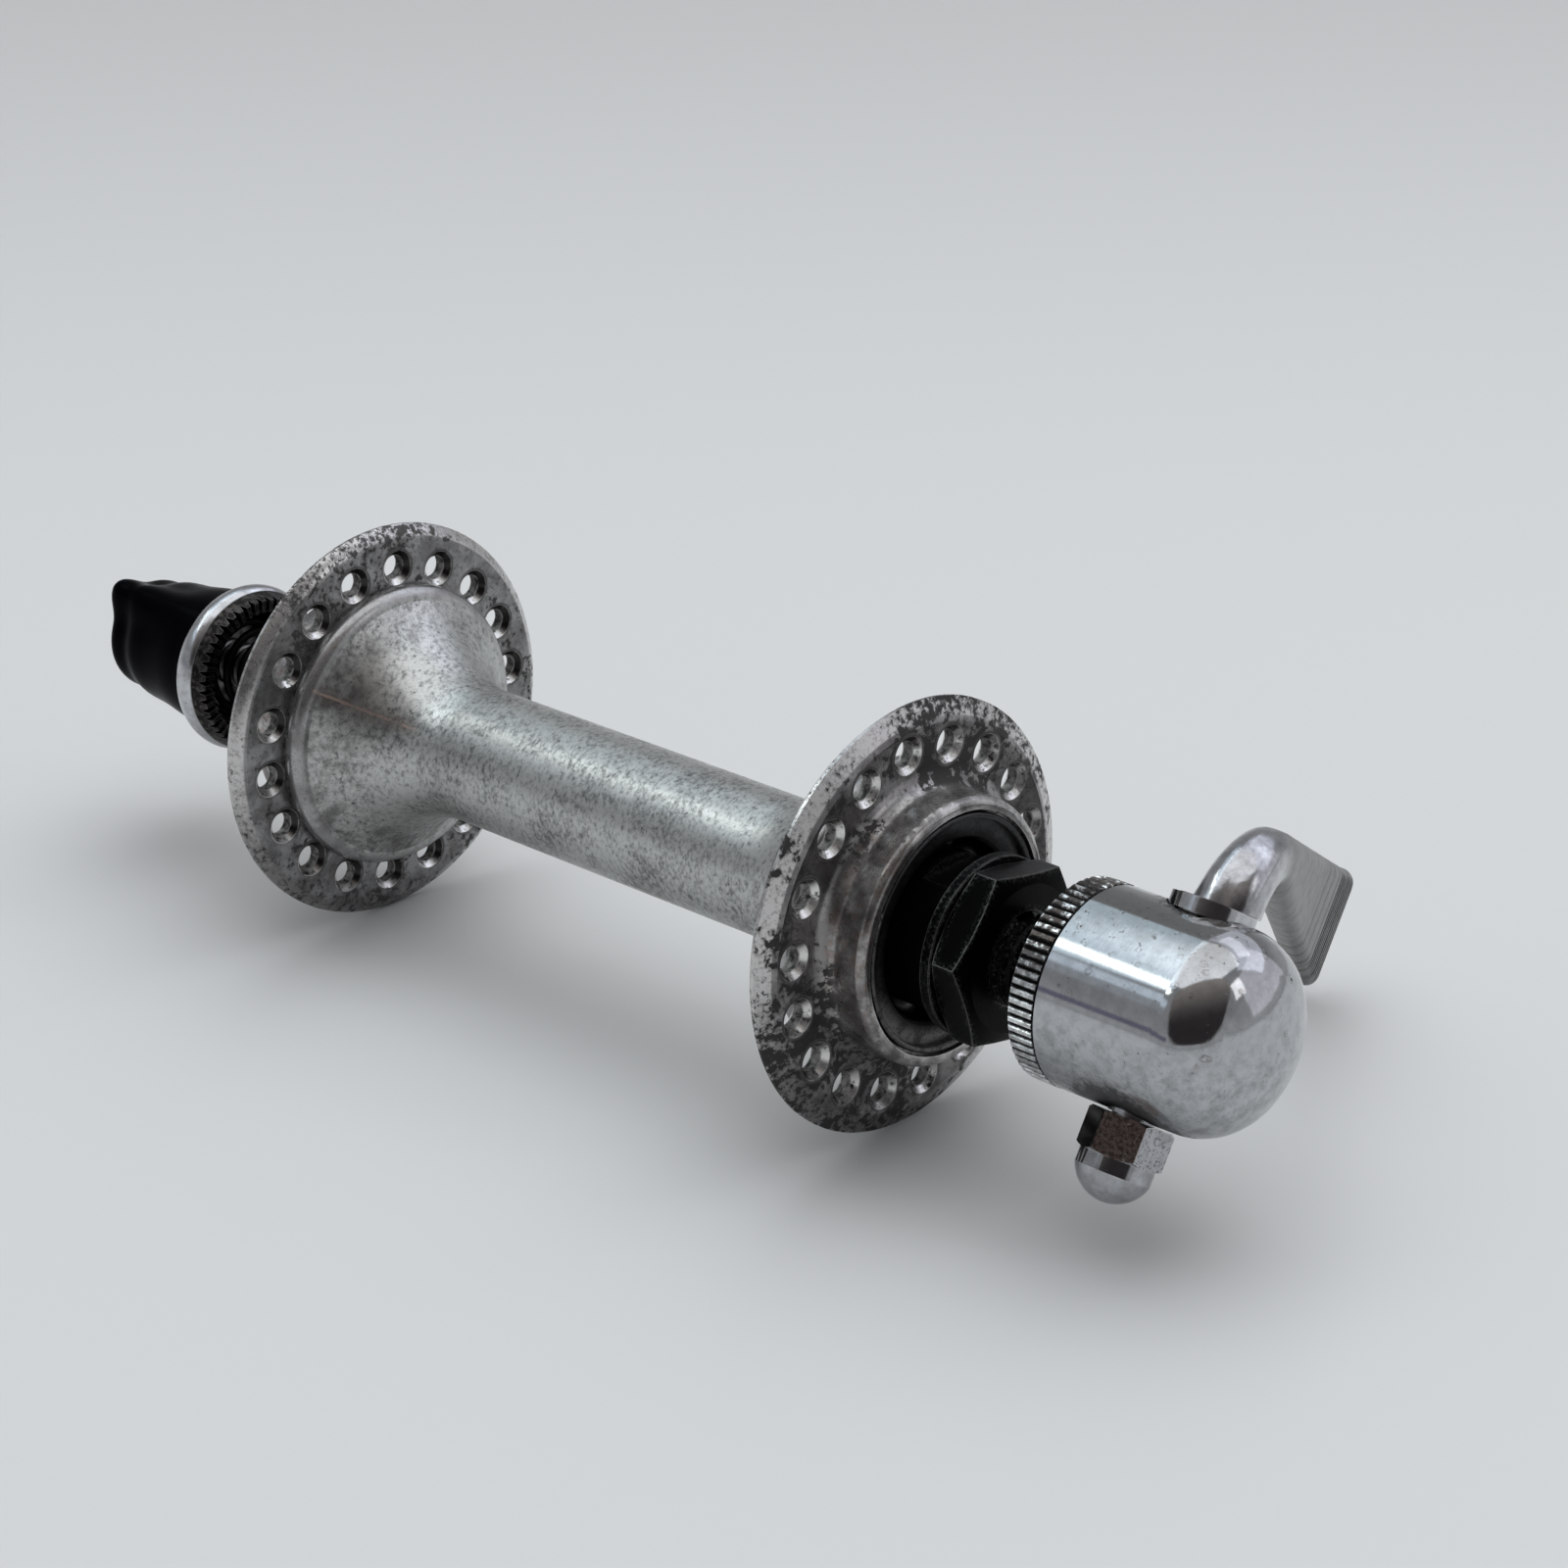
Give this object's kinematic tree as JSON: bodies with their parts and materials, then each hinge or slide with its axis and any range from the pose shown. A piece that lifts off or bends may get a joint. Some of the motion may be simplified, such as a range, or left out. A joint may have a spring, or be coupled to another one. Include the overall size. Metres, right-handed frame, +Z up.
{
  "type": "bicycle front hub",
  "caption": "Bicycle front hub with drilled flanges on ball bearings, a hollow axle, and a quick-release skewer with cam lever and adjusting nut.",
  "frame": {"origin": "middle of the hub on the wheel axis, halfway between the two lock nut faces", "axes": "+Y along the axle towards the lever end, +Z up, +X square to both"},
  "size_m": [0.0739, 0.1543, 0.0422],
  "materials": {
    "worn_aluminium": "matt, pitted and oxidised",
    "axle_steel": "satin",
    "black_steel": "black oxide",
    "hardened_steel": "ground",
    "ball_steel": "polished",
    "cap_steel": "dull, stained",
    "chromed_steel": "bright with pits",
    "knurled_steel": "dirt in the grooves",
    "lever_steel": "satin",
    "spring_steel": "bright",
    "rod_steel": "zinc plated",
    "black_plastic": "glossy, worn"
  },
  "bodies": {
    "axle_set": {"axle": "axle_steel", "cone_lever_side": "hardened_steel", "cone_nut_side": "hardened_steel", "lock_washer_lever_side": "black_steel", "lock_washer_nut_side": "black_steel", "lock_nut_lever_side": "black_steel", "lock_nut_nut_side": "black_steel"},
    "shell": {"hub_shell": "worn_aluminium", "bearing_cup_lever_side": "hardened_steel", "bearing_cup_nut_side": "hardened_steel", "dust_cap_lever_side": "cap_steel", "dust_cap_nut_side": "cap_steel"},
    "balls_lever_side": {"bearing_balls_lever_side": "ball_steel"},
    "balls_nut_side": {"bearing_balls_nut_side": "ball_steel"},
    "cam_end": {"cam_housing": "chromed_steel", "clamp_ring_lever_side": "knurled_steel", "volute_spring_lever_side": "spring_steel"},
    "lever": {"cam_lever": "lever_steel", "lever_washer": "chromed_steel", "acorn_nut": "chromed_steel"},
    "rod": {"skewer_rod": "rod_steel"},
    "nut_spring": {"volute_spring_nut_side": "spring_steel"},
    "adjusting_nut": {"clamp_ring_nut_side": "chromed_steel", "nut_grip": "black_plastic", "nut_insert": "rod_steel"}
  },
  "joints": [
    {"name": "shell_spin", "type": "hinge", "parent": "axle_set", "child": "shell", "pos_m": [0, 0, 0], "axis": [0, 1, 0], "continuous": true},
    {"name": "ball_orbit_lever_side", "type": "hinge", "parent": "axle_set", "child": "balls_lever_side", "pos_m": [0, 0.0366, 0], "axis": [0, 1, 0], "continuous": true},
    {"name": "ball_orbit_nut_side", "type": "hinge", "parent": "axle_set", "child": "balls_nut_side", "pos_m": [0, -0.0366, 0], "axis": [0, 1, 0], "continuous": true},
    {"name": "skewer_turn", "type": "hinge", "parent": "axle_set", "child": "cam_end", "pos_m": [0, 0.06, 0], "axis": [0, 1, 0], "continuous": true},
    {"name": "lever_turn", "type": "hinge", "parent": "cam_end", "child": "lever", "pos_m": [0, 0.067, 0], "axis": [0.5299, 0, -0.848], "range_deg": [0, 180]},
    {"name": "skewer_pull", "type": "slide", "parent": "cam_end", "child": "rod", "axis": [0, -1, 0], "range_m": [0, 0.0014]},
    {"name": "nut_advance", "type": "slide", "parent": "rod", "child": "nut_spring", "axis": [0, -1, 0], "range_m": [0, 0.0032]},
    {"name": "nut_turn", "type": "hinge", "parent": "nut_spring", "child": "adjusting_nut", "pos_m": [0, -0.06, 0], "axis": [0, -1, 0], "range_deg": [0, 1440]}
  ],
  "couplings": [
    {"joint": "ball_orbit_lever_side", "follows": "shell_spin", "ratio": 0.6059},
    {"joint": "ball_orbit_nut_side", "follows": "shell_spin", "ratio": 0.6059},
    {"joint": "skewer_pull", "follows": "lever_turn", "m_per_rad": 0.00044563},
    {"joint": "nut_advance", "follows": "nut_turn", "m_per_rad": 0.00012732}
  ]
}
